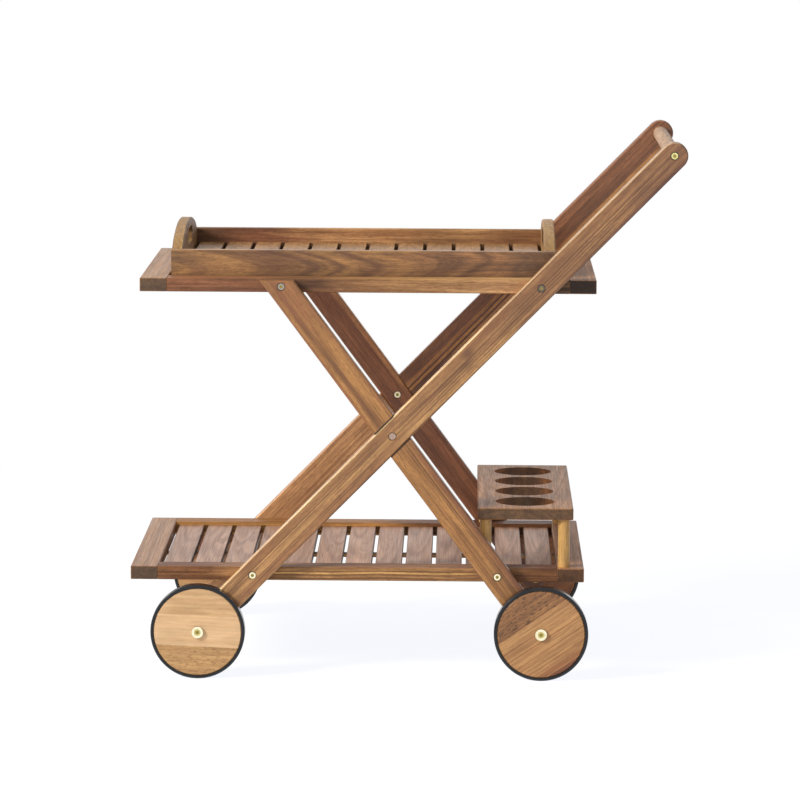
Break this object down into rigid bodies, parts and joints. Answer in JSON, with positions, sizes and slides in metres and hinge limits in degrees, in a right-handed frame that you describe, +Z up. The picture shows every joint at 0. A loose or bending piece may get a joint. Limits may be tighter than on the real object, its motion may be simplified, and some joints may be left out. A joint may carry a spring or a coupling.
{
  "type": "bar cart",
  "caption": "Wheeled wooden bar cart with crossed legs, a slatted shelf, a lift-out tray with arched ends, a bottle rack and a round push handle.",
  "frame": {"origin": "on the floor, under the middle of the cart's box", "axes": "+X towards the handle end, +Y towards the right hand of a person who pushes, +Z up"},
  "size_m": [0.88, 0.6098, 0.856],
  "materials": {
    "leg_wood": "oiled hardwood, satin",
    "frame_wood": "oiled hardwood, satin",
    "slat_wood": "oiled hardwood, satin",
    "tray_wood": "oiled hardwood, satin",
    "rack_wood": "oiled hardwood, satin",
    "handle_wood": "oiled hardwood, satin",
    "wheel_wood": "glued strips, oiled, satin",
    "tyre_rubber": "matt black",
    "bush_plastic": "natural",
    "zinc_steel": "yellow zinc plated",
    "plain_steel": "plated"
  },
  "bodies": {
    "frame": {"long_leg_left": "leg_wood", "long_leg_right": "leg_wood", "short_leg_left": "leg_wood", "short_leg_right": "leg_wood", "top_rail_left": "frame_wood", "top_rail_right": "frame_wood", "top_end_front": "frame_wood", "top_end_rear": "frame_wood", "top_batten": "frame_wood", "shelf_rail_left": "frame_wood", "shelf_rail_right": "frame_wood", "shelf_end_front": "frame_wood", "shelf_end_rear": "frame_wood", "shelf_batten": "frame_wood", "top_slats": "slat_wood", "shelf_slats": "slat_wood", "bottle_rack_board": "rack_wood", "rack_post_front_left": "rack_wood", "rack_post_front_right": "rack_wood", "rack_post_rear_left": "rack_wood", "rack_post_rear_right": "rack_wood", "handle_bar": "handle_wood", "axle_bolts": "zinc_steel", "axle_nuts": "zinc_steel", "short_leg_bolts": "zinc_steel", "long_leg_bolts": "zinc_steel", "handle_bolts": "zinc_steel", "crossing_bolts": "zinc_steel", "crossing_nuts": "plain_steel", "wheel_washers": "plain_steel"},
    "tray": {"tray_slats": "slat_wood", "tray_side_left": "tray_wood", "tray_side_right": "tray_wood", "tray_end_front": "tray_wood", "tray_end_rear": "tray_wood", "tray_batten_left": "tray_wood", "tray_batten_right": "tray_wood"},
    "front_wheel_left": {"front_wheel_left_disc": "wheel_wood", "front_wheel_left_tyre": "tyre_rubber", "front_wheel_left_bush": "bush_plastic"},
    "front_wheel_right": {"front_wheel_right_disc": "wheel_wood", "front_wheel_right_tyre": "tyre_rubber", "front_wheel_right_bush": "bush_plastic"},
    "rear_wheel_left": {"rear_wheel_left_disc": "wheel_wood", "rear_wheel_left_tyre": "tyre_rubber", "rear_wheel_left_bush": "bush_plastic"},
    "rear_wheel_right": {"rear_wheel_right_disc": "wheel_wood", "rear_wheel_right_tyre": "tyre_rubber", "rear_wheel_right_bush": "bush_plastic"}
  },
  "joints": [
    {"name": "front_wheel_left_spin", "type": "hinge", "parent": "frame", "child": "front_wheel_left", "pos_m": [-0.33045, -0.28885, 0.075], "axis": [0, 1, 0], "continuous": true},
    {"name": "front_wheel_right_spin", "type": "hinge", "parent": "frame", "child": "front_wheel_right", "pos_m": [-0.33045, 0.28885, 0.075], "axis": [0, 1, 0], "continuous": true},
    {"name": "rear_wheel_left_spin", "type": "hinge", "parent": "frame", "child": "rear_wheel_left", "pos_m": [0.21504, -0.28885, 0.075], "axis": [0, 1, 0], "continuous": true},
    {"name": "rear_wheel_right_spin", "type": "hinge", "parent": "frame", "child": "rear_wheel_right", "pos_m": [0.21504, 0.28885, 0.075], "axis": [0, 1, 0], "continuous": true},
    {"name": "tray_lift", "type": "slide", "parent": "frame", "child": "tray", "axis": [0, 0, 1], "range_m": [0, 0.25]}
  ]
}
